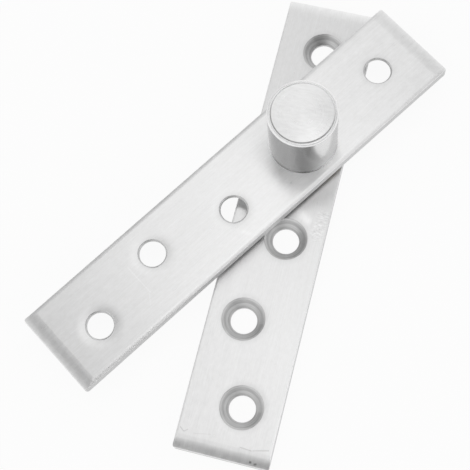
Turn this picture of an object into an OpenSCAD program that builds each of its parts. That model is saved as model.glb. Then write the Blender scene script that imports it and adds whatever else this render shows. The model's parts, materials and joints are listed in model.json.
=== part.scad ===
// Door pivot hinge: two crossed strap plates that turn on a hidden pin.
//
// The frame plate lies flat at the bottom and carries a riveted pivot pin.
// The door plate lies over it on a thrust washer and carries a turned barrel.
// Two ball bearings inside the barrel run on the pin, under a flush end cap.
//
// The pivot axis is Z, and z = 0 is the underside of the frame plate.
// The frame plate's short end points along +Y.

/* [Strap plates] */
// Length of a strap plate
plate_len = 127.7; // [115:0.1:160]
// Width of a strap plate
plate_w = 25; // [24:0.5:34]
// Thickness of a strap plate
plate_t = 3; // [2.6:0.1:4]
// Distance from the pivot axis to a plate's short end
short_reach = 41.8; // [38:0.1:50]
// Sideways distance from the pivot axis to a plate's centreline
pivot_offset = 0.9; // [0:0.05:1.5]
// Radius of a plate's corners, seen from above
corner_r = 0.8; // [0.4:0.1:4]
// Length of the rolled-over stretch at a plate's end
roll_len = 3.8; // [2:0.1:6]
// How far a plate's end is rolled down
roll_drop = 0.5; // [0.2:0.05:0.8]
// Width of the rolled-over stretch along the door plate's long sides
side_roll_len = 1.2; // [0.6:0.1:2]
// How far the door plate's long sides are rolled down
side_roll_drop = 0.25; // [0.1:0.05:0.5]
// Width of the rolled-over stretch along the frame plate's long sides
frame_side_roll_len = 0.5; // [0.4:0.05:1]
// How far the frame plate's long sides are rolled down
frame_side_roll_drop = 0.1; // [0.05:0.01:0.2]
// Rounding of a plate's upper edges
edge_r = 0.25; // [0.1:0.05:0.4]
// Angle between the two plates as they lie
plate_angle = 33.5; // [20:0.1:160]

/* [Screw holes] */
// Diameter of a screw hole
hole_d = 7; // [5:0.1:7.4]
// Diameter of a countersink at the plate's face
sink_d = 11.4; // [9:0.1:12]
// Included angle of a countersink
sink_angle = 90; // [82:1:100]
// Rounding of a door plate hole's upper rim
rim_r = 0.35; // [0.1:0.05:0.5]
// Distance from the pivot axis to the hole in the short end
hole_1_reach = 28.1; // [25:0.1:33]
// Distance from the pivot axis to the first hole in the long end
hole_2_reach = 26.2; // [24:0.1:32]
// Distance from the pivot axis to the second hole in the long end
hole_3_reach = 49.7; // [46:0.1:56]
// Distance from the pivot axis to the last hole in the long end
hole_4_reach = 72.1; // [70:0.1:78]
// Sideways distance from a plate's centreline to the hole in the short end
hole_1_side = 0.1; // [-4:0.05:4]
// Sideways distance from a plate's centreline to the first hole in the long end
hole_2_side = 2.5; // [-4:0.05:4]
// Sideways distance from a plate's centreline to the second hole in the long end
hole_3_side = -3.05; // [-4:0.05:4]
// Sideways distance from a plate's centreline to the last hole in the long end
hole_4_side = 2.2; // [-4:0.05:4]

/* [Barrel and end cap] */
// Height of the barrel above the door plate
barrel_h = 18; // [14:0.5:24]
// Wall of the barrel
barrel_wall = 1.05; // [0.9:0.05:2]
// Rounding of the barrel's outer rim
barrel_rim_r = 0.6; // [0.2:0.05:0.8]
// Height of the barrel's foot, which is let in flush with the door plate
foot_h = 1.2; // [0.8:0.1:1.6]
// Step between the barrel and its foot
foot_step = 0.2; // [0.1:0.05:0.4]
// Step between the barrel and its neck, below the foot
neck_step = 0.4; // [0.2:0.05:0.6]
// Size of the swaged flare that locks the neck in the door plate
neck_flare = 0.5; // [0.2:0.05:0.8]
// Thickness of the inner lip at the barrel's foot
lip_t = 1.4; // [1:0.1:2]
// Thickness of the end cap
cap_t = 1.5; // [1:0.1:2.5]
// Height of the end cap's shallow dome
cap_dome = 0.3; // [0.1:0.05:0.6]
// Ledge inside the barrel that the end cap rests on
cap_ledge = 0.1; // [0.05:0.05:0.2]
// Bevel on both sides of the seam round the end cap
seam_bevel = 0.15; // [0.05:0.05:0.3]

/* [Pin and washers] */
// Diameter of the pin's shoulder
shoulder_d = 10; // [9.6:0.1:10.4]
// Gap between the two plates, filled by the thrust washer
plate_gap = 1.5; // [0.8:0.1:3.5]
// Outer diameter of the thrust washer
washer_d = 20; // [18:0.5:23]
// Diameter of the pin's riveted head
rivet_d = 11; // [10:0.1:12]
// Height of the pin's riveted head
rivet_h = 1.5; // [1:0.1:2]
// Length of the pin beyond the retaining ring
pin_tail = 0.7; // [0.4:0.1:1]
// Clearance between the pin's end and the end cap
end_gap = 0.4; // [0.2:0.1:1]
// Bevel on the pin's end
pin_bevel = 0.4; // [0.2:0.1:0.5]
// Thickness of the retaining ring
ring_t = 0.8; // [0.6:0.1:1]
// Depth of the retaining ring's groove in the pin
groove_depth = 0.2; // [0.1:0.05:0.4]
// Width of the retaining ring's band
ring_band = 1.3; // [1:0.1:1.6]
// Wall of the spacers
spacer_wall = 1; // [0.8:0.1:1.2]
// Running clearance between turning parts
run_gap = 0.15; // [0.1:0.05:0.25]

/* [Ball bearings] */
// Bore of a bearing, and diameter of the pin's journal
bearing_bore = 8; // [7.8:0.1:8.2]
// Outer diameter of a bearing, and bore of the barrel
bearing_d = 16; // [15.8:0.1:17]
// Width of a bearing
bearing_w = 5; // [4.6:0.1:5.2]
// Diameter of a bearing ball
ball_d = 2.4; // [2:0.1:2.6]
// Number of balls in a bearing
ball_count = 9; // [6:1:9]
// Radial play between a ball and its races
ball_play = 0.02; // [0.01:0.005:0.05]
// Depth of a race
race_depth = 0.3; // [0.2:0.05:0.4]
// Thickness of a cage's ring, below its pockets
cage_base = 0.5; // [0.3:0.05:0.6]
// Clearance between a cage and the bearing's rings
cage_gap = 0.2; // [0.1:0.05:0.3]
// Clearance of a ball in its cage pocket
pocket_gap = 0.08; // [0.04:0.02:0.14]
// Thickness of a bearing shield
shield_t = 0.25; // [0.2:0.05:0.3]
// Distance from a bearing's face to its shield
shield_inset = 0.15; // [0.1:0.05:0.25]
// Step that seats a shield in the outer ring
shield_seat = 0.3; // [0.15:0.05:0.4]
// Bevel on a bearing ring's corners
ring_bevel = 0.2; // [0.1:0.05:0.3]

/* [Hidden] */
$fn = 96;
// Facets of a circle so large that only a short flat arc of it is used
flat_arc_fn = 16 * $fn;
eps = 0.01;

bore_r = bearing_d / 2;
journal_r = bearing_bore / 2;
shoulder_r = shoulder_d / 2;
barrel_r = bore_r + barrel_wall;
foot_r = barrel_r + foot_step;
neck_r = barrel_r - neck_step;
cap_r = bore_r + cap_ledge;
hole_r = hole_d / 2;
sink_depth = (sink_d - hole_d) / 2 / tan(sink_angle / 2);

// Heights, from the underside of the frame plate
door_z = plate_t + plate_gap;
door_top = door_z + plate_t;
barrel_top = door_top + barrel_h;
cap_z = barrel_top - cap_t;
lower_bearing_z = door_z + lip_t;
cap_spacer_len = ring_t + pin_tail + end_gap;
upper_bearing_z = cap_z - cap_spacer_len - bearing_w;
spacer_z = lower_bearing_z + bearing_w;
spacer_len = upper_bearing_z - spacer_z;
ring_z = upper_bearing_z + bearing_w;
pin_end = ring_z + ring_t + pin_tail;

// Radii inside a bearing
pitch_r = (journal_r + bore_r) / 2;
ball_r = ball_d / 2;
race_ratio = 0.52;
race_r = race_ratio * ball_d;
inner_land_r = pitch_r - ball_r - ball_play + race_depth;
outer_land_r = pitch_r + ball_r + ball_play - race_depth;
// How far a cage reaches beyond its balls' centres, as a share of their radius
cage_reach = 0.7;

// ---- shared shapes ----

// A rectangle with round corners, centred on the origin.
module rounded_rect(w, l, r) {
    square([w - 2 * r, l], center = true);
    square([w, l - 2 * r], center = true);
    for (sx = [-1, 1], sy = [-1, 1])
        translate([sx * (w / 2 - r), sy * (l / 2 - r)])
            circle(r = r);
}

// Radius of the arc that comes down by drop over the length run.
function arc_radius(run, drop) = (run * run + drop * drop) / (2 * drop);

// A bar's section whose two upper sides are rolled down by drop over the length run,
// and end in a small round edge of radius edge. It stands on y = 0.
module rolled_section(w, t, run, drop, edge) {
    roll_r = arc_radius(run, drop);
    edge_x = w / 2 - edge;
    edge_y = t - roll_r + sqrt(pow(roll_r - edge, 2) - pow(run - edge, 2));
    // where the two arcs meet
    meet_x = w / 2 - run + (run - edge) * roll_r / (roll_r - edge);
    intersection() {
        translate([-w / 2, 0])
            square([w, t]);
        union() {
            translate([-w / 2, 0])
                square([w, edge_y]);
            translate([-w / 2 + run, 0])
                square([w - 2 * run, t]);
            for (side = [-1, 1]) {
                intersection() {
                    translate([side * (w / 2 - run), t - roll_r])
                        circle(r = roll_r);
                    translate([-meet_x, 0])
                        square([2 * meet_x, t]);
                }
                translate([side * edge_x, edge_y])
                    circle(r = edge);
            }
        }
    }
}

// A turned ring from an outline of radius and height.
module turned(outline) {
    rotate_extrude()
        polygon(outline);
}

// A plain ring that stands on z.
module plain_ring(outer_r, inner_r, z, h) {
    translate([0, 0, z])
        difference() {
            cylinder(r = outer_r, h = h);
            translate([0, 0, -eps])
                cylinder(r = inner_r, h = h + 2 * eps);
        }
}

// ---- strap plates ----

// Puts a shape at each screw hole of a plate.
module at_holes() {
    places = [
        [hole_1_side, hole_1_reach],
        [hole_2_side, -hole_2_reach],
        [hole_3_side, -hole_3_reach],
        [hole_4_side, -hole_4_reach]
    ];
    for (place = places)
        translate([place[0] - pivot_offset, place[1], 0])
            children();
}

// A strap on z = 0, before its holes. Its ends are rolled down, and its long sides are
// rolled down by side_drop over the width side_run.
module plate_blank(side_run, side_drop) {
    translate([-pivot_offset, short_reach - plate_len / 2, 0])
        intersection() {
            linear_extrude(plate_t)
                rounded_rect(plate_w, plate_len, corner_r);
            rotate([90, 0, 90])
                translate([0, 0, -plate_w])
                    linear_extrude(2 * plate_w)
                        rolled_section(plate_len, plate_t, roll_len, roll_drop, edge_r);
            rotate([90, 0, 0])
                translate([0, 0, -plate_len])
                    linear_extrude(2 * plate_len)
                        rolled_section(plate_w, plate_t, side_run, side_drop, edge_r);
        }
}

// A screw hole whose countersink opens upwards at the height t.
module sunk_hole(t) {
    translate([0, 0, -eps])
        cylinder(r = hole_r, h = t + 2 * eps);
    translate([0, 0, t - sink_depth])
        cylinder(r1 = hole_r, r2 = sink_d / 2, h = sink_depth);
    translate([0, 0, t - eps])
        cylinder(r = sink_d / 2, h = 2 * eps);
}

// The rounding of a hole's rim at the height t.
module rim_cut(t) {
    rotate_extrude()
        difference() {
            translate([hole_r - eps, t - rim_r])
                square([rim_r + eps, rim_r + eps]);
            translate([hole_r + rim_r, t - rim_r])
                circle(r = rim_r);
        }
}

module frame_plate() {
    color("gainsboro")
        difference() {
            plate_blank(frame_side_roll_len, frame_side_roll_drop);
            at_holes()
                sunk_hole(plate_t);
            // the pin's neck and riveted head
            translate([0, 0, -eps])
                cylinder(r = journal_r, h = plate_t + 2 * eps);
            cylinder(r1 = rivet_d / 2, r2 = journal_r, h = rivet_h);
        }
}

module door_plate() {
    color("gainsboro")
        translate([0, 0, door_z])
            rotate(-plate_angle)
                difference() {
                    plate_blank(side_roll_len, side_roll_drop);
                    at_holes()
                        translate([0, 0, plate_t])
                            mirror([0, 0, 1])
                                sunk_hole(plate_t);
                    at_holes()
                        rim_cut(plate_t);
                    // the barrel's foot, neck and swaged flare
                    translate([0, 0, plate_t - foot_h])
                        cylinder(r = foot_r, h = foot_h + eps);
                    translate([0, 0, -eps])
                        cylinder(r = neck_r, h = plate_t + 2 * eps);
                    cylinder(r1 = neck_r + neck_flare, r2 = neck_r, h = neck_flare);
                }
}

// ---- barrel and what is fixed in it ----

module barrel() {
    lip_r = shoulder_r + run_gap;
    foot_z = door_top - foot_h;
    color("silver")
        rotate_extrude()
            difference() {
                union() {
                    // neck and flare
                    polygon([
                        [lip_r, door_z],
                        [neck_r + neck_flare, door_z],
                        [neck_r, door_z + neck_flare],
                        [neck_r, foot_z + eps],
                        [lip_r, foot_z + eps]
                    ]);
                    // foot
                    translate([lip_r, foot_z])
                        square([foot_r - lip_r, foot_h]);
                    // wall
                    translate([lip_r, door_top - eps])
                        square([barrel_r - lip_r, barrel_h - barrel_rim_r + eps]);
                    // rim
                    translate([lip_r, barrel_top - barrel_rim_r - eps])
                        square([barrel_r - barrel_rim_r - lip_r, barrel_rim_r + eps]);
                    translate([barrel_r - barrel_rim_r, barrel_top - barrel_rim_r])
                        circle(r = barrel_rim_r);
                }
                // bore
                translate([0, lower_bearing_z])
                    square([bore_r, barrel_top]);
                // seat of the end cap, with a bevel at its mouth
                translate([0, cap_z])
                    square([cap_r, barrel_top]);
                polygon([
                    [cap_r - eps, barrel_top - seam_bevel - eps],
                    [cap_r + seam_bevel + eps, barrel_top + eps],
                    [cap_r - eps, barrel_top + eps]
                ]);
            }
}

// A flat disc with bevelled edge and a shallow dome.
module end_cap() {
    dome_edge_r = cap_r - 2 * seam_bevel;
    dome_r = arc_radius(dome_edge_r, cap_dome);
    color("whitesmoke")
        rotate_extrude() {
            polygon([
                [0, cap_z],
                [cap_r, cap_z],
                [cap_r, barrel_top - seam_bevel],
                [cap_r - seam_bevel, barrel_top],
                [0, barrel_top]
            ]);
            intersection() {
                translate([0, barrel_top + cap_dome - dome_r])
                    circle(r = dome_r, $fn = flat_arc_fn);
                translate([0, barrel_top - eps])
                    square([dome_edge_r, cap_dome + 2 * eps]);
            }
        }
}

module cap_spacer() {
    color("darkgray")
        plain_ring(bore_r, bore_r - spacer_wall, ring_z, cap_spacer_len);
}

module outer_spacer() {
    color("darkgray")
        plain_ring(bore_r, bore_r - spacer_wall, spacer_z, spacer_len);
}

// ---- pin and what is fixed on it ----

module pivot_pin() {
    groove_r = journal_r - groove_depth;
    color("lightslategray")
        turned([
            [0, 0],
            [rivet_d / 2, 0],
            [journal_r, rivet_h],
            [journal_r, plate_t],
            [shoulder_r, plate_t],
            [shoulder_r, lower_bearing_z],
            [journal_r, lower_bearing_z],
            [journal_r, ring_z],
            [groove_r, ring_z],
            [groove_r, ring_z + ring_t],
            [journal_r, ring_z + ring_t],
            [journal_r, pin_end - pin_bevel],
            [journal_r - pin_bevel, pin_end],
            [0, pin_end]
        ]);
}

module thrust_washer() {
    color("goldenrod")
        plain_ring(washer_d / 2, shoulder_r, plate_t, plate_gap);
}

module inner_spacer() {
    color("darkgray")
        plain_ring(journal_r + spacer_wall, journal_r, spacer_z, spacer_len);
}

// An open ring with two eyes for the pliers, sprung into the pin's groove.
module retaining_ring() {
    groove_r = journal_r - groove_depth;
    eye_r = 0.95;
    eye_hole_r = 0.4;
    eye_angle = 20;
    color("dimgray")
        translate([0, 0, ring_z])
            linear_extrude(ring_t)
                difference() {
                    union() {
                        circle(r = groove_r + ring_band);
                        for (side = [-1, 1])
                            rotate(side * eye_angle)
                                translate([0, groove_r + ring_band])
                                    circle(r = eye_r);
                    }
                    circle(r = groove_r);
                    for (side = [-1, 1])
                        rotate(side * eye_angle)
                            translate([0, groove_r + ring_band])
                                circle(r = eye_hole_r);
                    // the mouth between the eyes
                    polygon([
                        [0, 0],
                        [2 * bore_r * sin(-eye_angle / 2), 2 * bore_r],
                        [2 * bore_r * sin(eye_angle / 2), 2 * bore_r]
                    ]);
                }
}

// ---- ball bearings ----

// An outer ring that stands on z: its race, and a seat for each shield.
module outer_ring(z) {
    seat_r = outer_land_r + shield_seat;
    seat_depth = shield_inset + shield_t;
    color("lightsteelblue")
        translate([0, 0, z])
            rotate_extrude()
                difference() {
                    polygon([
                        [seat_r, 0],
                        [bore_r - ring_bevel, 0],
                        [bore_r, ring_bevel],
                        [bore_r, bearing_w - ring_bevel],
                        [bore_r - ring_bevel, bearing_w],
                        [seat_r, bearing_w],
                        [seat_r, bearing_w - seat_depth],
                        [outer_land_r, bearing_w - seat_depth],
                        [outer_land_r, seat_depth],
                        [seat_r, seat_depth]
                    ]);
                    translate([pitch_r + ball_r + ball_play - race_r, bearing_w / 2])
                        circle(r = race_r);
                }
}

module inner_ring(z) {
    color("lightsteelblue")
        translate([0, 0, z])
            rotate_extrude()
                difference() {
                    polygon([
                        [journal_r, ring_bevel],
                        [journal_r + ring_bevel, 0],
                        [inner_land_r, 0],
                        [inner_land_r, bearing_w],
                        [journal_r + ring_bevel, bearing_w],
                        [journal_r, bearing_w - ring_bevel]
                    ]);
                    translate([pitch_r - ball_r - ball_play + race_r, bearing_w / 2])
                        circle(r = race_r);
                }
}

// Puts a shape at one ball's place in the bearing that stands on z.
module at_ball(i, z) {
    rotate((i - 1) * 360 / ball_count)
        translate([pitch_r, 0, z + bearing_w / 2])
            children();
}

module ball(i, z) {
    color("white")
        at_ball(i, z)
            sphere(r = ball_r);
}

// A crown cage: a ring below the balls, with pockets that hold them from the side.
module cage(z) {
    height = cage_base + pocket_gap + (1 + cage_reach) * ball_r;
    foot = bearing_w / 2 - ball_r - pocket_gap - cage_base;
    color("darkgoldenrod")
        difference() {
            plain_ring(outer_land_r - cage_gap, inner_land_r + cage_gap, z + foot, height);
            for (i = [1:ball_count])
                at_ball(i, z)
                    sphere(r = ball_r + pocket_gap);
        }
}

// A shield in its seat, with its lower face a height foot above the bearing's foot at z.
module shield(z, foot) {
    color("gray")
        plain_ring(outer_land_r + shield_seat, inner_land_r + run_gap, z + foot, shield_t);
}

module lower_outer_ring() outer_ring(lower_bearing_z);
module lower_inner_ring() inner_ring(lower_bearing_z);
module lower_cage() cage(lower_bearing_z);
module lower_shield_below() shield(lower_bearing_z, shield_inset);
module lower_shield_above() shield(lower_bearing_z, bearing_w - shield_inset - shield_t);
module upper_outer_ring() outer_ring(upper_bearing_z);
module upper_inner_ring() inner_ring(upper_bearing_z);
module upper_cage() cage(upper_bearing_z);
module upper_shield_below() shield(upper_bearing_z, shield_inset);
module upper_shield_above() shield(upper_bearing_z, bearing_w - shield_inset - shield_t);

frame_plate();
pivot_pin();
thrust_washer();
door_plate();
barrel();
end_cap();
cap_spacer();
outer_spacer();
inner_spacer();
retaining_ring();
lower_outer_ring();
lower_inner_ring();
lower_cage();
lower_shield_below();
lower_shield_above();
upper_outer_ring();
upper_inner_ring();
upper_cage();
upper_shield_below();
upper_shield_above();
for (i = [1:ball_count])
    ball(i, lower_bearing_z);
for (i = [1:ball_count])
    ball(i, upper_bearing_z);
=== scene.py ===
"""Looks of the door pivot hinge: brushed and turned steel, a pale floor and soft studio light."""

import json
import math

import bpy
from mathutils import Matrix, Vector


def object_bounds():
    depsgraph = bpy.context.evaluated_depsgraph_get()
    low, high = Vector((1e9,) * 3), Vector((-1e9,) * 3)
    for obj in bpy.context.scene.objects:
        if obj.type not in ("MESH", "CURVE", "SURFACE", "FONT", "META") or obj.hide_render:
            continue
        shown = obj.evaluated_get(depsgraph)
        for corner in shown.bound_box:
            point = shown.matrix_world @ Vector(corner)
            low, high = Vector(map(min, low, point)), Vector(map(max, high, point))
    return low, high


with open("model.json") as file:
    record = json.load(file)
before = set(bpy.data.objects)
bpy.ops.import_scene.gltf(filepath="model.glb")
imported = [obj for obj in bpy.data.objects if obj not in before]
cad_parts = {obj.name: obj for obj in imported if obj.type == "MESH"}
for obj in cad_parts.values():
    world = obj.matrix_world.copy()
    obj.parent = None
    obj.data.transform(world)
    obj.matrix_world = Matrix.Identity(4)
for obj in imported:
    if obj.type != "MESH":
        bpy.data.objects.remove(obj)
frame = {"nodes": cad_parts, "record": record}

CAD_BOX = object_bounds()
MM = 0.001

# Camera over the hinge, in the row frame. These numbers come from a fit to the photograph.
CAMERA_PLACE = (0.02735, -0.10823, 0.28048)
CAMERA_ANGLES = (14.955, 3.525, 14.283)
CAMERA_LENS = 84.57
CAMERA_SHIFT = (-0.008, 0.1006)
CAMERA_NEAREST = 0.01

# Colours and greys are levels of linear light
WHITE = (1.0, 1.0, 1.0)
BRASS = (0.76, 0.58, 0.28)
NYLON = (0.66, 0.60, 0.46)
BALL_GREY = 0.78

# Turned metals: level of grey, roughness, tint, pitch of the tool's rings and
# their depth in millimetres, how much rings and smears change the grey, how strongly the rings
# stretch highlights, and the grey of the rounded edges, painted bright as a highlight
TURNED = {
    "barrel_steel": dict(level=0.72, rough=0.16, ring_mm=0.10, ring_grey=0.02, smear=0.02, edge=0.95),
    "cap_steel": dict(level=0.83, rough=0.30, ring_mm=0.22, ring_grey=0.045, ring_depth=0.0008,
                      stretch=0.15, smear=0.05, edge=0.95),
    "pin_steel": dict(level=0.55, rough=0.30, tint=(1.0, 1.0, 1.02)),
    "washer_brass": dict(level=1.0, rough=0.30, tint=BRASS),
    "spring_steel": dict(level=0.10, rough=0.42, stretch=0.0),
    "bearing_steel": dict(level=0.68, rough=0.12, tint=(0.99, 1.0, 1.02)),
    "shield_steel": dict(level=0.62, rough=0.34, ring_mm=0.3),
}
# Rounded edges painted bright as a highlight: how far they face up where they begin and are whole,
# counted from the flat faces and from the upright sides
EDGE_HIGHLIGHT_FROM_FACE = (0.998, 0.97)
EDGE_HIGHLIGHT_FROM_SIDE = (0.15, 0.35)
ROUNDED_EDGE_ROUGH = 0.5
# Painted shade in the seam between the barrel and its cap: the seam's radius, how far from it the
# shade ends and is full, both in millimetres, how far up a surface faces to keep it, and from where
# to where along Y it grows, from which share to which
SEAM_R = 8.0
SEAM_WIDTH = (0.22, 0.05)
SEAM_UP = (0.1, 0.3)
SEAM_SHADE_ALONG_Y = (5.0, -6.0, 0.15, 0.9)
SEAM_SHADE_GREY = 0.36

# Plates: grey and roughness of the brushed faces, the countersinks, the sides and the undersides;
# the countersinks and the undersides are darker, as painted shade
FACE_GREY, FACE_ROUGH = 0.86, 0.32
SINK_SHADE_GREY, SINK_ROUGH = 0.62, 0.42
SIDE_GREY, SIDE_ROUGH = 0.66, 0.50
UNDER_SHADE_GREY, UNDER_ROUGH = 0.42, 0.60
# How far a surface faces up where the sides and the undersides begin, and where they are whole
SIDE_UP = (0.6, 0.3)
UNDER_UP = (-0.6, -0.8)
# How much the patterns of the brushing change the grey, as a share, and the roughness, and how
# high the lines stand in millimetres
HAIR_GREY, HAIR_ROUGH, HAIR_HEIGHT = 0.05, 0.03, 0.0006
STREAK_GREY, STREAK_ROUGH, STREAK_HEIGHT = 0.025, 0.015, 0.0012
MOTTLE_GREY, MOTTLE_ROUGH = 0.05, 0.03
BAND_GREY = 0.015
CLOUD_GREY = 0.012
BRUSHED_STRETCH = 0.8    # how strongly the brushing stretches highlights
STRETCH_TURN = 0.25      # how far the stretch is turned from the tangent, in full turns

# Round the screw holes, in millimetres: radius of the countersink, width of the rolled edge,
# width of the darker band of painted shade round them and how much darker it is, and how far and
# how deep the sheet is drawn in round holes 1 to 4
SINK_R = 5.7
RIM_R = 0.35
HALO_WIDTH, HALO_PAINTED_SHADE = 1.6, 0.07
FRAME_DISH = (2.0, (0.0, 0.02, 0.03, 0.04))
DOOR_DISH = (2.8, (0.0, 0.07, 0.07, 0.10))
# Rings in a countersink: a lighter one just inside its edge, a painted highlight; a darker one
# further in; and a darker one at its foot, painted shade where it meets the hole. For each: distance
# in from its edge, or out from the hole for its foot, half width, both in millimetres, and how much
# the ring adds to the grey
LIP_HIGHLIGHT_RING = (0.25, 0.3, 0.08)
DARK_RING = (0.8, 0.4, -0.10)
FOOT_SHADE_RING = (0.3, 0.35, -0.08)
RINGS_GREY = 0.17        # the fine rings all over it
RINGS_HEIGHT = 0.014

# Wear, and one painted highlight, on the plates' outer faces: place across and along the plate from
# the pivot axis, length, width, turn in degrees from across the plate, and how much darker the mark
# is, or brighter below 0. Millimetres. The places were taken from the photograph through the fitted
# camera.
FRAME_MARKS = (
    (6.7, -84.9, 1.0, 1.0, 0.0, 0.70),       # two pits at the end
    (8.0, -85.1, 1.1, 0.8, 20.0, 0.55),
    (-12.1, -80.9, 1.8, 0.5, -38.0, 0.22),   # hair lines near the end
    (-11.0, -81.0, 1.4, 0.5, 40.0, 0.18),
    (-6.8, -80.9, 4.6, 0.4, 10.0, 0.10),
    (4.8, -82.0, 3.4, 0.5, -4.0, 0.25),
    (8.6, -81.5, 4.4, 0.5, 14.0, 0.25),
    (11.4, -58.8, 0.8, 0.8, 0.0, 0.15),      # nick in the long edge
    (4.6, -18.9, 7.0, 3.6, -35.0, -0.16),    # painted highlight by the second hole
)
FRAME_CHATTER = (9.4, -20.6, 11.0, 5.5, 82.0, 0.26)     # fine ticks beside that painted highlight
DOOR_MARKS = (
    (-1.0, -56.9, 9.5, 0.5, 0.0, -0.07),     # bright scratch across the plate
    (4.8, -58.2, 3.6, 0.5, -35.0, -0.05),    # short one beside it
    (8.4, -28.2, 3.5, 2.0, 30.0, -0.06),     # bright smudge
)
FRAME_SCREWS = "frame_screw_"
DOOR_SCREWS = "door_screw_"

# Studio
FLOOR_SIZE = 12.0
FLOOR_GREY = 0.85
FLOOR_GLOW = 0.93        # share of plain white that the floor shows to the camera and to metal
FLOOR_GAP = 0.02 * MM
HORIZON_TOP = 0.30       # height of the white band round the horizon, on a dome of radius 1
HORIZON_FADE = 0.12
ROOM_LEVEL = 1.07        # level of the dome where no patch changes it
DARKEST = 0.03
# Soft patches on the dome: tilt from straight up, turn from -Y towards +X, radius, all in
# degrees, and how much each adds to the room's level at its middle. They come from a fit to the
# shading in the photograph and stand for nothing that was seen in the room.
SKY_PATCHES = (
    (10.0, 110.0, 22.0, 0.84),     # bright, nearly overhead
    (33.0, 42.0, 32.0, -1.10),     # dark, towards +X and -Y, with the camera in it
    (16.0, 297.0, 26.0, -0.72),    # dark, nearly overhead, towards -X
    (61.0, 234.0, 36.0, -0.70),    # dark, lower down, towards -X and +Y
    (34.0, 129.0, 33.0, -0.70),    # dark, towards +X and +Y
)


# ---- node building ----

class Field:
    """A number that varies over a surface. Arithmetic with it adds math nodes."""

    def __init__(self, nodes, socket):
        self.nodes = nodes
        self.socket = socket

    def __add__(self, other):
        return self.nodes.math("ADD", self, other)

    def __sub__(self, other):
        return self.nodes.math("SUBTRACT", self, other)

    def __mul__(self, other):
        return self.nodes.math("MULTIPLY", self, other)

    def __truediv__(self, other):
        return self.nodes.math("DIVIDE", self, other)

    def __rsub__(self, other):
        return self.nodes.math("SUBTRACT", other, self)

    __radd__ = __add__
    __rmul__ = __mul__


class Nodes:
    """A node tree being built. Most methods add nodes and return what they give."""

    def __init__(self, tree):
        self.tree = tree

    def add(self, kind, inputs=None, output=0, **settings):
        node = self.tree.nodes.new(kind)
        for key, value in settings.items():
            setattr(node, key, value)
        for key, value in (inputs or {}).items():
            self.set(node.inputs[key], value)
        return node.outputs[output]

    def set(self, socket, value):
        if isinstance(value, Field):
            value = value.socket
        if isinstance(value, bpy.types.NodeSocket):
            self.tree.links.new(value, socket)
        else:
            socket.default_value = value

    def math(self, operation, a, b=0.0):
        return Field(self, self.add("ShaderNodeMath", {0: a, 1: b}, operation=operation))

    def smaller(self, a, b):
        return self.math("MINIMUM", a, b)

    def larger(self, a, b):
        return self.math("MAXIMUM", a, b)

    def size(self, value):
        return self.math("ABSOLUTE", value)

    def length(self, a, b):
        return self.math("SQRT", a * a + b * b)

    def mix(self, share, a, b):
        return a + (b - a) * share

    def ease(self, value, start, end, low=0.0, high=1.0):
        """A smooth step from low to high as value goes from start to end."""
        inputs = {"Value": value, "From Min": start, "From Max": end, "To Min": low, "To Max": high}
        return Field(self, self.add("ShaderNodeMapRange", inputs, interpolation_type="SMOOTHSTEP"))

    def ridge(self, value, middle, width):
        """1 where value is at the middle, easing to 0 at this width to both sides."""
        return self.ease(self.size(value - middle), width, 0.0)

    def vector(self, x, y, z):
        return self.add("ShaderNodeCombineXYZ", {0: x, 1: y, 2: z})

    def noise(self, x, y, z, detail=2.0, rough=0.5):
        """Noise about 0, mostly between -1 and 1, with features one unit of its coordinates wide."""
        inputs = {"Vector": self.vector(x, y, z), "Scale": 1.0, "Detail": detail, "Roughness": rough}
        return Field(self, self.add("ShaderNodeTexNoise", inputs)) * 4.0 - 2.0

    def mark(self, x, y, place_x, place_y, length, width, turn):
        """1 on the middle of a short straight mark, fading to 0 at its edges."""
        dx, dy = x - place_x, y - place_y
        c, s = math.cos(math.radians(turn)), math.sin(math.radians(turn))
        far = self.size(dx * c + dy * s)
        off = self.size(dy * c - dx * s)
        ends = self.ease(far, length / 2, length / 2 - width / 2)
        return ends * self.ease(off, width / 2, 0.0)

    def colour(self, level, tint=WHITE):
        """A colour of the given tint at a level that varies."""
        return self.add("ShaderNodeCombineColor", {i: level * t for i, t in enumerate(tint)})

    def parts(self, coordinates):
        """The x, y and z of one of the texture coordinates."""
        separate = self.tree.nodes.new("ShaderNodeSeparateXYZ")
        self.set(separate.inputs[0], self.add("ShaderNodeTexCoord", output=coordinates))
        return [Field(self, out) for out in separate.outputs]

    def place(self):
        """Place on the piece in millimetres, along the row frame's axes."""
        return [part * (1.0 / MM) for part in self.parts("Object")]

    def facing(self):
        """The surface's own direction, along the piece's axes."""
        return self.parts("Normal")

    def turned_with_piece(self, vector):
        """A direction given along the piece's axes, as the world sees it."""
        settings = {"vector_type": "VECTOR", "convert_from": "OBJECT", "convert_to": "WORLD"}
        return self.add("ShaderNodeVectorTransform", {"Vector": vector}, **settings)

    def bump(self, height_mm):
        return self.add("ShaderNodeBump", {"Height": height_mm, "Distance": MM, "Strength": 1.0})


class Material(Nodes):
    """A material with one Principled shader."""

    def __init__(self, name):
        self.material = bpy.data.materials.new(name)
        self.material.use_nodes = True
        super().__init__(self.material.node_tree)
        self.shader = self.tree.nodes["Principled BSDF"]

    def surface(self, **inputs):
        for name, value in inputs.items():
            self.set(self.shader.inputs[name.replace("_", " ")], value)
        return self.material


# ---- plates ----

def screw_places(prefix):
    """Centres of a plate's screw holes, and their radius, in millimetres."""
    mounts = [m for m in frame["record"]["mounts"] if m["name"].startswith(prefix)]
    centres = [(m["pos_m"][0] / MM, m["pos_m"][1] / MM) for m in mounts]
    return centres, mounts[0]["dims"]["r_mm"]


def plate_direction(prefix):
    """Angle of a plate's length from +X, from its first hole and its last."""
    centres, _ = screw_places(prefix)
    return math.atan2(centres[0][1] - centres[-1][1], centres[0][0] - centres[-1][0])


def plate_turn(prefix):
    """How far a plate is turned from the frame plate, about +Z."""
    return plate_direction(prefix) - plate_direction(FRAME_SCREWS)


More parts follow.
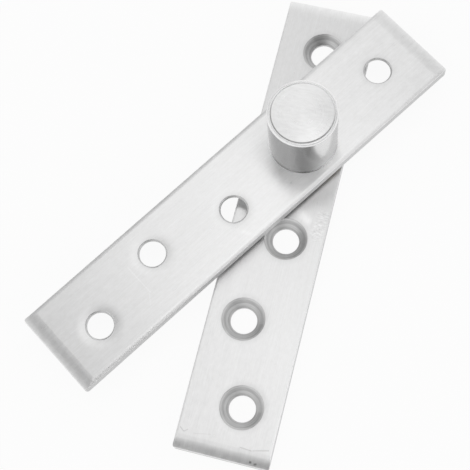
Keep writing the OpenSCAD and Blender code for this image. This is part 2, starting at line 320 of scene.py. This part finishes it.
def round_the_holes(m, x, y, centres, edge_r, dish):
    """Distance to the nearest hole's centre, the way from it, and how deep the sheet is drawn in."""
    dish_width, dish_depths = dish
    distance, way_x, way_y, drawn = None, 0.0, 0.0, 0.0
    for (cx, cy), depth in zip(centres, dish_depths):
        dx, dy = x - cx, y - cy
        d = m.length(dx, dy)
        near = m.math("LESS_THAN", d, 2.0 * edge_r)
        distance = d if distance is None else m.smaller(distance, d)
        way_x = dx * near + way_x
        way_y = dy * near + way_y
        inward = m.larger((edge_r + dish_width - d) / dish_width, 0.0)
        drawn = inward * inward * depth + drawn
    return distance, way_x, way_y, drawn


def wear_and_highlight_of(m, across, along, marks, chatter):
    """How much darker the marks make a plate's face, and how much lighter the painted highlight makes
    it.
    """
    wear_and_highlight = 0.0
    for *where, amount in marks:
        wear_and_highlight = m.mark(across, along, *where) * amount + wear_and_highlight
    if chatter:
        *where, amount = chatter
        ticks = m.noise(across * 0.9, along * 3.2, 7.0)
        wear_and_highlight = m.mark(across, along, *where) * ticks * amount + wear_and_highlight
    return wear_and_highlight


def plate_steel(name, prefix, edge_r, dish, marks, chatter=None):
    """Stainless strip, brushed along the plate, with turned marks in and round its screw holes,
    painted shade and highlight in and round them, and painted shade on its undersides.
    """
    m = Material(name)
    x, y, z = m.place()
    turn = plate_turn(prefix)
    across = x * math.cos(turn) + y * math.sin(turn)
    along = y * math.cos(turn) - x * math.sin(turn)

    # brushing, with its features to the millimetre: hair lines, streaks, broad bands and mottle,
    # and large soft clouds; shear lines on the sides
    hair = m.noise(across * 11.0, along * 0.16, z * 3.0, detail=3.0, rough=0.6)
    streak = m.noise(across * 3.2, along * 0.07, z + 40.0)
    band = m.noise(across * 0.45, along * 0.03, z + 80.0, detail=1.0)
    cloud = m.noise(x * 0.06, y * 0.06, z + 120.0)
    mottle = m.noise(across * 0.9, along * 0.5, z + 160.0)
    shear = m.noise(across * 6.0, along * 6.0, z * 0.5)

    # the parts of the surface, each as a share from 0 to 1
    centres, hole_r = screw_places(prefix)
    distance, way_x, way_y, drawn = round_the_holes(m, x, y, centres, edge_r, dish)
    in_sink = m.ease(distance, edge_r + 0.1, edge_r - 0.1)
    # a band of painted shade round each hole
    painted_halo = m.ease(distance, edge_r + HALO_WIDTH, edge_r)
    up = m.facing()[2]
    side = m.ease(m.size(up), *SIDE_UP)
    under = m.ease(up, *UNDER_UP)

    # the tool's fine rings in a countersink, with a painted highlight just inside its edge, darker a
    # little further in, and painted shade at its foot
    rings = m.noise(distance * 3.0, way_x * 0.12, way_y * 0.12, detail=3.0, rough=0.7)
    sink_painted_grey = SINK_SHADE_GREY + rings * RINGS_GREY
    for inward, width, amount in (LIP_HIGHLIGHT_RING, DARK_RING):
        sink_painted_grey = sink_painted_grey + m.ridge(distance, edge_r - inward, width) * amount
    outward, width, amount = FOOT_SHADE_RING
    sink_painted_grey = sink_painted_grey + m.ridge(distance, hole_r + outward, width) * amount

    lines = hair * HAIR_GREY + streak * STREAK_GREY + band * BAND_GREY
    lines = lines + cloud * CLOUD_GREY + mottle * MOTTLE_GREY
    # wear, and one painted highlight on the frame plate
    wear_and_highlight = wear_and_highlight_of(m, across, along, marks, chatter)
    grey = FACE_GREY * (1.0 + lines) * (1.0 - painted_halo * HALO_PAINTED_SHADE) * (1.0 - wear_and_highlight)
    # the countersinks and the undersides take darker greys, painted shade
    grey = m.mix(in_sink, grey, sink_painted_grey)
    grey = m.mix(side, grey, SIDE_GREY + shear * 0.05)
    grey = m.mix(under, grey, UNDER_SHADE_GREY + cloud * 0.03)

    rough = FACE_ROUGH + hair * HAIR_ROUGH + streak * STREAK_ROUGH + mottle * MOTTLE_ROUGH
    rough = m.mix(in_sink, rough, SINK_ROUGH + rings * 0.05)
    rough = m.mix(side, rough, SIDE_ROUGH + shear * 0.04)
    rough = m.mix(under, rough, UNDER_ROUGH + cloud * 0.03)

    height = hair * HAIR_HEIGHT + streak * STREAK_HEIGHT - drawn
    height = m.mix(in_sink, height, rings * RINGS_HEIGHT)
    height = m.mix(side, height, shear * 0.004)

    straight = m.vector(-math.sin(turn), math.cos(turn), 0.0)
    round_hole = m.vector(0.0 - way_y, way_x, 0.0)
    blend = {"Factor": in_sink, 4: straight, 5: round_hole}
    grain = m.add("ShaderNodeMix", blend, 1, data_type="VECTOR")
    return m.surface(
        Base_Color=m.colour(grey),
        Metallic=1.0,
        Roughness=rough,
        Anisotropic=BRUSHED_STRETCH,
        Anisotropic_Rotation=STRETCH_TURN,
        Tangent=m.turned_with_piece(grain),
        Normal=m.bump(height),
    )


# ---- turned metals, balls and cages ----

def turned_steel(name, level, rough, tint=WHITE, ring_mm=0.16, ring_grey=0.04, ring_depth=0.0012,
                 stretch=0.5, smear=0.0, edge=0.0):
    """Metal turned about the pivot axis, with fine rings on its faces and round its sides."""
    m = Material(name)
    x, y, z = m.place()
    radius = m.length(x, y)
    ring = m.noise((radius + z) / ring_mm, x * 0.05, y * 0.05, detail=3.0, rough=0.6)
    drift = m.noise((radius + z) * 0.8, x * 0.15, y * 0.15)
    speck = m.noise(x * 2.5, y * 2.5, z * 2.5, detail=3.0)
    wiped = m.noise(x * 0.5, y * 1.6, z * 0.5, detail=3.0)
    grey = level * (1.0 + ring * ring_grey + drift * ring_grey * 0.6 + wiped * smear)
    rough = rough * (1.0 + ring * 0.10 + drift * 0.10 + speck * 0.06)
    if edge:
        # the rounded edges between faces and sides, painted bright as a highlight, and painted shade
        # in the cap's seam, most of it on the side towards -Y
        up = m.size(m.facing()[2])
        edge_highlight = m.ease(up, *EDGE_HIGHLIGHT_FROM_FACE) * m.ease(up, *EDGE_HIGHLIGHT_FROM_SIDE)
        grey = m.mix(edge_highlight, grey, edge + ring * ring_grey)
        rough = m.mix(edge_highlight, rough, ROUNDED_EDGE_ROUGH + speck * 0.04)
        seam = m.ease(m.size(radius - SEAM_R), *SEAM_WIDTH) * m.ease(up, *SEAM_UP)
        grey = m.mix(seam * m.ease(y, *SEAM_SHADE_ALONG_Y), grey, SEAM_SHADE_GREY)
    height = ring * ring_depth + speck * ring_depth * 0.4
    return m.surface(
        Base_Color=m.colour(grey, tint),
        Metallic=1.0,
        Roughness=rough,
        Anisotropic=stretch,
        Anisotropic_Rotation=STRETCH_TURN,
        Tangent=m.add("ShaderNodeTangent", direction_type="RADIAL", axis="Z"),
        Normal=m.bump(height),
    )


def ball_steel():
    """Polished bearing balls with a trace of grease."""
    m = Material("ball_steel")
    x, y, z = m.place()
    film = m.noise(x * 1.2, y * 1.2, z * 1.2, detail=3.0)
    return m.surface(
        Base_Color=m.colour(BALL_GREY + film * 0.02),
        Metallic=1.0,
        Roughness=0.07 + m.ease(film, 0.0, 1.0) * 0.10,
        Normal=m.bump(film * 0.0006),
    )


def cage_nylon():
    """Moulded natural nylon, slightly cloudy."""
    m = Material("cage_nylon")
    x, y, z = m.place()
    cloud = m.noise(x * 0.5, y * 0.5, z * 0.5, detail=3.0)
    grain = m.noise(x * 9.0, y * 9.0, z * 9.0)
    return m.surface(
        Base_Color=m.colour(1.0 + cloud * 0.05 + grain * 0.02, NYLON),
        Metallic=0.0,
        Roughness=0.45 + grain * 0.05,
        Subsurface_Weight=0.15,
        Subsurface_Scale=0.0006,
        Normal=m.bump(grain * 0.003),
    )


def dress_nodes():
    """Gives every CAD node the material of its slot, and each plate one with its own wear."""
    _, hole_r = screw_places(DOOR_SCREWS)
    by_slot = {name: turned_steel(name, **finish) for name, finish in TURNED.items()}
    by_slot["ball_steel"] = ball_steel()
    by_slot["cage_nylon"] = cage_nylon()
    by_node = {
        "frame_plate": plate_steel("frame_plate_steel", FRAME_SCREWS, SINK_R, FRAME_DISH,
                                   FRAME_MARKS, FRAME_CHATTER),
        "door_plate": plate_steel("door_plate_steel", DOOR_SCREWS, hole_r + RIM_R, DOOR_DISH,
                                  DOOR_MARKS),
    }
    slots = {p["node"]: p["material_slot"] for p in frame["record"]["subparts"]}
    for name, node in frame["nodes"].items():
        material = by_node.get(name) or by_slot[slots[name]]
        node.data.materials.clear()
        node.data.materials.append(material)


# ---- studio ----

def make_floor():
    """A pale floor that keeps the hinge's shadow, under the lowest point of the hinge."""
    lowest = CAD_BOX[0].z
    bpy.ops.mesh.primitive_plane_add(size=FLOOR_SIZE, location=(0.0, 0.0, lowest - FLOOR_GAP))
    floor = bpy.context.object
    floor.name = "studio_floor"
    material = bpy.data.materials.new("studio_floor")
    material.use_nodes = True
    n = Nodes(material.node_tree)
    n.tree.nodes.clear()
    plain = n.add("ShaderNodeBsdfDiffuse", {"Color": (FLOOR_GREY, FLOOR_GREY, FLOOR_GREY, 1.0)})
    white = n.add("ShaderNodeEmission", {"Color": (*WHITE, 1.0), "Strength": 1.0})
    camera, glossy, clear = (Field(n, n.add("ShaderNodeLightPath", output=ray)) for ray in
                             ("Is Camera Ray", "Is Glossy Ray", "Is Transmission Ray"))
    seen = n.larger(n.larger(camera, glossy), clear)
    both = n.add("ShaderNodeMixShader", {0: seen * FLOOR_GLOW, 1: plain, 2: white})
    out = n.tree.nodes.new("ShaderNodeOutputMaterial")
    n.set(out.inputs["Surface"], both)
    floor.data.materials.append(material)


def dome_direction(tilt, turn):
    """Unit vector to a place on the dome."""
    tilt, turn = math.radians(tilt), math.radians(turn)
    return (math.sin(tilt) * math.sin(turn), -math.sin(tilt) * math.cos(turn), math.cos(tilt))


def make_sky():
    """The room as a dome of one level, with soft patches on it and white round the horizon."""
    world = bpy.data.worlds.new("studio_sky")
    bpy.context.scene.world = world
    world.use_nodes = True
    n = Nodes(world.node_tree)
    x, y, z = n.parts("Generated")
    level = ROOM_LEVEL
    for tilt, turn, radius, amount in SKY_PATCHES:
        cx, cy, cz = dome_direction(tilt, turn)
        toward = x * cx + y * cy + z * cz
        level = n.ease(toward, math.cos(math.radians(radius)), 1.0, 0.0, amount) + level
    level = n.larger(level, DARKEST)
    horizon = n.ease(z, HORIZON_TOP, HORIZON_TOP - HORIZON_FADE)
    level = n.mix(horizon, level, 1.0)
    background = n.tree.nodes["Background"]
    n.set(background.inputs["Color"], n.colour(level))


def make_camera():
    """The camera at its place over the hinge."""
    data = bpy.data.cameras.new("camera")
    data.lens = CAMERA_LENS
    data.shift_x, data.shift_y = CAMERA_SHIFT
    data.clip_start = CAMERA_NEAREST
    camera = bpy.data.objects.new("camera", data)
    bpy.context.scene.collection.objects.link(camera)
    camera.location = CAMERA_PLACE
    camera.rotation_euler = [math.radians(a) for a in CAMERA_ANGLES]
    bpy.context.scene.camera = camera


make_camera()
dress_nodes()
make_floor()
make_sky()
bpy.context.scene.view_settings.view_transform = "Standard"
